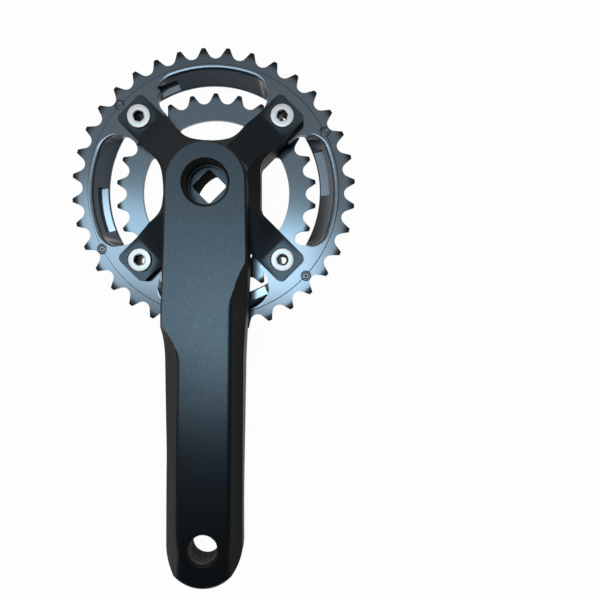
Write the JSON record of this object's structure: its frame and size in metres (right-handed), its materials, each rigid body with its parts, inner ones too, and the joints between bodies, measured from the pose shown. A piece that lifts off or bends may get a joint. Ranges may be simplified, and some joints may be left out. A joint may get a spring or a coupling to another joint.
{
  "type": "bicycle crank arm",
  "caption": "Drive-side bicycle crank arm: forged arm with integral spider, dished outer chainring, flat inner chainring, square-taper axle socket and threaded pedal eye.",
  "frame": {"origin": "on the axle axis at the hub's inner face, where the square socket opens", "axes": "+Z along the axle, outboard; the arm runs along -Y to the pedal; +X to the right seen from outboard"},
  "size_m": [0.1492, 0.268, 0.045],
  "materials": {
    "forged_arm": "matte charcoal anodised",
    "outer_ring": "satin gunmetal anodised",
    "inner_ring": "satin dark steel",
    "bolt_steel": "bright turned",
    "nut_steel": "dark satin",
    "pin_steel": "dark satin"
  },
  "bodies": {
    "root": {"crank_arm": "forged_arm", "outer_chainring": "outer_ring", "inner_chainring": "inner_ring", "chainring_bolts": "bolt_steel", "chainring_nuts": "nut_steel", "inner_ring_bolts": "nut_steel", "shift_pins": "pin_steel"}
  },
  "joints": []
}
